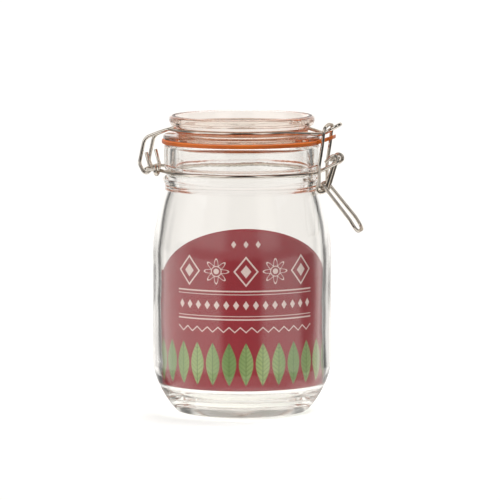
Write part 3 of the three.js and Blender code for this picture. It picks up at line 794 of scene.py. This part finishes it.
lid_half = [
    (
        HINGE[0] + CURL_R * math.cos(curl_end) - ARM_TAIL * math.sin(curl_end),
        -ARM_Y,
        HINGE[1] + CURL_R * math.sin(curl_end) + ARM_TAIL * math.cos(curl_end),
    ),
    *upright_arc(HINGE, CURL_R, CURL_END, CURL_START, -ARM_Y),
    (ARM_ELBOW[0], -ARM_Y, ARM_ELBOW[1], 5),
    (ARM_SHOULDER[0], -ARM_Y, ARM_SHOULDER[1], 6),
    (ARM_TOP[0], -ARM_Y, ARM_TOP[1], 8),
    (ARM_ROOT_X, -ARM_Y, LID_WIRE_Z, 3),
    *level_arc(LID_WIRE_R, LID_WIRE_Z, lid_rear - 180, -lid_front),
    (TONGUE[0], -TONGUE_Y, TONGUE[1], 3),
    *(tuple(p) for p in tongue_tip),
]
fit_wire(wire("lid_bail", route(mirrored(lid_half, shared=True))), "lid", "lid_wire")


# Lever. One wire bent double: pins in the eyes, two legs, a coil on each for the hook's end,
# and a wider handle that stands off the jar.
LEVER_PIN_Y, LEVER_TOP_Y, LEVER_LOW_Y, LEVER_COIL_Y = 8.2, 4.3, 4.7, 7.1
HANDLE_Y, HANDLE_END, HANDLE_DROP = 8.5, 8.33, 57.3
HOOK_PIVOT, COIL_TURN_R = (48.8, 132.3), 2.45
LEG_END_ANGLE, HANDLE_START_ANGLE = -17.2, -320.7
HANDLE_BEND = (66.4, 114.7)
LEG_CRANK = (0.36, 0.76)
leg_end = math.radians(LEG_END_ANGLE)
leg_foot = (
    HOOK_PIVOT[0] + COIL_TURN_R * math.cos(leg_end),
    HOOK_PIVOT[1] + COIL_TURN_R * math.sin(leg_end),
)
leg_high, leg_low = (np.add(PIVOT, np.subtract(leg_foot, PIVOT) * t) for t in LEG_CRANK)
drop = math.radians(HANDLE_DROP)
tip_x = HANDLE_BEND[0] + HANDLE_END * math.cos(drop)
tip_z = HANDLE_BEND[1] - HANDLE_END * math.sin(drop)
lever_half = [
    (PIVOT[0], -LEVER_PIN_Y, PIVOT[1]),
    (PIVOT[0], -LEVER_TOP_Y, PIVOT[1], 1.5),
    (leg_high[0], -LEVER_TOP_Y, leg_high[1], 6),
    (leg_low[0], -LEVER_LOW_Y, leg_low[1], 6),
    *upright_arc(
        HOOK_PIVOT, COIL_TURN_R, LEG_END_ANGLE, HANDLE_START_ANGLE, -LEVER_LOW_Y, -LEVER_COIL_Y
    ),
    (HANDLE_BEND[0], -HANDLE_Y, HANDLE_BEND[1], 8),
    (tip_x, -HANDLE_Y, tip_z, 4.5),
    (tip_x, 0, tip_z),
]
fit_wire(wire("clip_lever", route(mirrored(lever_half, shared=True))), "lever", "latch_lever")


# Hook. A springy stirrup: its ends turn in the lever's coils, and its bar lies over the lid
# wire's tongue and pulls the lid down.
HOOK_Y, HOOK_PIN_Y, HOOK_ARCH = 11.4, 3.6, 1.2
HOOK_LOW, HOOK_BEND = (48.7, 146), (50.6, 157.5)
HOOK_HIGH, HOOK_BAR = (51.2, 163.5), (52, 168.3)
hook_half = [
    (HOOK_PIVOT[0], -HOOK_PIN_Y, HOOK_PIVOT[1]),
    (HOOK_PIVOT[0], -HOOK_Y, HOOK_PIVOT[1], 1.8),
    (HOOK_LOW[0], -HOOK_Y, HOOK_LOW[1], 12),
    (HOOK_BEND[0], -HOOK_Y, HOOK_BEND[1], 8),
    (HOOK_HIGH[0], -HOOK_Y, HOOK_HIGH[1]),
    (HOOK_BAR[0], -HOOK_Y, HOOK_BAR[1], 3),
    (HOOK_BAR[0], 0, HOOK_BAR[1] + HOOK_ARCH, 20),
]
fit_wire(wire("clip_hook", route(mirrored(hook_half, shared=True))), "hook", "latch_hook")


# Card. Half a millimetre of printed card with an arched top, sprung against the inside of
# the wall. The outer face is printed, and the inner face and the cut edges are plain.
CARD_R, CARD_T = BODY_INNER_R - 0.4, 0.5
CARD_LOW_Z, CARD_SHOULDER_Z, CARD_TOP_Z, CARD_ARCH_R = 17.5, 84.6, 111.4, 77.0
CARD_HALF_ANGLE, CARD_CENTRE_ANGLE, CARD_LEAN = 88.0, -74.3, 0.006


def card_top(s):
    """Height of the top edge at a distance s round the wall: the arch's circle or, beyond
    it, the level shoulder."""
    arch = CARD_TOP_Z - CARD_ARCH_R + np.sqrt(np.maximum(CARD_ARCH_R**2 - s**2, 0))
    return np.maximum(arch, CARD_SHOULDER_Z)


def card_surface():
    """Rings round the card's section, one for each distance s along it: up the outer face,
    over the top edge, down the inner face and under the bottom edge. Its angle is the
    middle's plus s over the radius, and the radius shrinks with the square of the height
    above the wall's straight part."""
    s = CARD_R * np.radians(np.linspace(-CARD_HALF_ANGLE, CARD_HALF_ANGLE, 221))[:, None]
    face = np.linspace(0, 1, 41)
    share = np.concatenate([face, face[::-1]])[None, :]
    deep = np.concatenate([0 * face, 0 * face + CARD_T])[None, :]
    z = CARD_LOW_Z + (card_top(s) - CARD_LOW_Z) * share
    r = CARD_R - CARD_LEAN * np.maximum(z - BODY_HIGH_Z, 0) ** 2 - deep
    a = math.radians(CARD_CENTRE_ANGLE) + s / CARD_R
    rings = np.stack([r * np.cos(a), r * np.sin(a), z], axis=2)
    across = np.broadcast_to(s, z.shape)
    uv = np.stack([across, z], axis=2) / 100
    return rings, np.concatenate([uv, uv[:, :1]], axis=1)


card_rings, card_uv = card_surface()
card_ends = [card_rings[0].mean(axis=0), card_rings[-1].mean(axis=0)]
printed_card = skin("printed_card", card_rings, card_ends, card_uv)


LEAF_LOW_Z, LEAF_H, LEAF_W, LEAF_PITCH = 20.5, 25.0, 8.2, 9.6
ROW_Z, ROW_PITCH, ROW_HALF = 87.0, 17.0, 42.0
CREST_Z, CREST_PITCH, CREST_HALF = 102.5, 7.0, 10.4
RULES = (75.5, 0.8), (73.6, 0.4), (60.9, 0.4), (59.0, 0.8)
DIAMOND_Z, DIAMOND_PITCH = 67.3, 5.6
ZIGZAG_Z, ZIGZAG_PITCH = 51.6, 6.4


def printed_face():
    """Burgundy print on card: a straight row of pale rosettes and lozenges, rules with a row
    of small diamonds and a zigzag below, and a row of upright green leaves at the foot.
    Lengths are in millimetres, across the card from its middle and up from the jar's foot."""
    made, start = material("printed_face")
    place = start.add("ShaderNodeUVMap", {"uv_map": "length_and_girth"})
    spread = start.add("ShaderNodeSeparateXYZ", inputs={0: place})
    across = 100 * Port(start.tree, spread.socket.node.outputs["X"])
    up = 100 * Port(start.tree, spread.socket.node.outputs["Y"])

    def repeat(value, pitch, shift=0.0):
        """The value less the nearest middle of a row with that pitch."""
        return value.maths("WRAP", value + shift, pitch / 2, -pitch / 2)

    def inked(distance):
        """1 inside a shape, where its signed distance is below zero, with a soft edge."""
        return 1 - distance.rise(-0.15, 0.15)

    def line(distance, width):
        """A line of that width where the distance is zero."""
        return inked(abs(distance) - width / 2)

    def most(first, *others):
        """The greatest of the masks, so that together they make one."""
        for other in others:
            first = first.maths("MAXIMUM", first, other)
        return first

    def lozenge(x, y, half_width, half_height):
        """Signed distance to a lozenge: |x| / w + |y| / h - 1, scaled to millimetres."""
        shape = abs(x) * (1 / half_width) + abs(y) * (1 / half_height) - 1
        return shape * (half_width * half_height / math.hypot(half_width, half_height))

    within = inked(abs(across) - ROW_HALF)
    y = up - ROW_Z
    x = repeat(across, 2 * ROW_PITCH)
    lozenges = most(line(lozenge(x, y, 6.6, 8.2), 0.9), inked(lozenge(x, y, 3.0, 3.8)))
    x = repeat(across, 2 * ROW_PITCH, ROW_PITCH)
    radius = x.maths("SQRT", x * x + y * y)
    petals = 5.2 + 1.9 * x.maths("COSINE", 8 * x.maths("ARCTAN2", y, x))
    rosettes = most(line(radius - petals, 0.9), inked(radius - 1.6), line(radius - 2.9, 0.5))
    crest = inked(lozenge(repeat(across, CREST_PITCH), up - CREST_Z, 1.5, 2.1))
    crest = crest * inked(abs(across) - CREST_HALF)
    rules = most(*(line(up - at, wide) for at, wide in RULES))
    diamonds = inked(lozenge(repeat(across, DIAMOND_PITCH), up - DIAMOND_Z, 1.7, 2.6))
    zigzag = line(up - ZIGZAG_Z - 0.9 * abs(repeat(across, ZIGZAG_PITCH)), 0.8)
    pale = most(most(lozenges, rosettes, rules, diamonds, zigzag) * within, crest)

    leaf_x = repeat(across, LEAF_PITCH)
    growth = (up - LEAF_LOW_Z) * (1 / LEAF_H)
    growth = growth.maths("MINIMUM", growth.maths("MAXIMUM", growth, 0), 1)
    belly = growth.maths("SINE", math.pi * growth)
    leaf = inked(abs(leaf_x) - LEAF_W / 2 * belly) * belly.rise(0.0, 0.05)
    veins = most(line(leaf_x, 0.5), line(repeat(up - 0.9 * abs(leaf_x), 2.6), 0.45))
    tone_x = repeat(across, 4 * LEAF_PITCH)
    tone = 0.5 + 0.5 * tone_x.maths("SINE", tone_x * (math.pi / (2 * LEAF_PITCH)))

    fibre, speck = place.noise(90.0, 5.0), place.noise(420.0, 2.0)
    ground = fibre.rise(0.3, 0.7).blend(paint(146, 21, 37), paint(157, 27, 43))
    green = tone.blend(paint(120, 148, 82), paint(158, 176, 112))
    green = (0.75 * veins).blend(green, paint(84, 112, 54))
    colour = leaf.blend(ground, green)
    cover = pale * (1 - 0.35 * speck.rise(0.55, 0.75))
    colour = cover.blend(colour, paint(236, 214, 208))
    face = start.add("ShaderNodeBsdfPrincipled", inputs={
        "Base Color": colour, "Roughness": 0.26 + 0.12 * fibre, "IOR": 1.6,
    })
    start.add("ShaderNodeOutputMaterial", inputs={"Surface": face})
    return made


def plain_board():
    """Unprinted card: warm grey-white with a fine fibre."""
    made, start = material("plain_board")
    place = start.add("ShaderNodeUVMap", {"uv_map": "length_and_girth"})
    fibre = place.noise(120.0, 5.0)
    colour = fibre.rise(0.3, 0.7).blend(paint(214, 208, 198), paint(228, 223, 214))
    face = start.add("ShaderNodeBsdfPrincipled", inputs={"Base Color": colour, "Roughness": 0.8})
    start.add("ShaderNodeOutputMaterial", inputs={"Surface": face})
    return made


printed_card.data.materials.append(printed_face())
printed_card.data.materials.append(plain_board())

# The faces that look away from the jar's axis are printed, and the others stay plain.
card_faces = printed_card.data.polygons
normals, centres = np.empty((2, len(card_faces), 3))
card_faces.foreach_get("normal", normals.reshape(-1))
card_faces.foreach_get("center", centres.reshape(-1))
outwards = (normals * (centres - [AXIS_X, 0, 0]))[:, :2].sum(axis=1)
card_faces.foreach_set("material_index", (outwards < CARD_R * MM / 2).astype(np.int32))
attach(printed_card, "jar")
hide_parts("label_card")
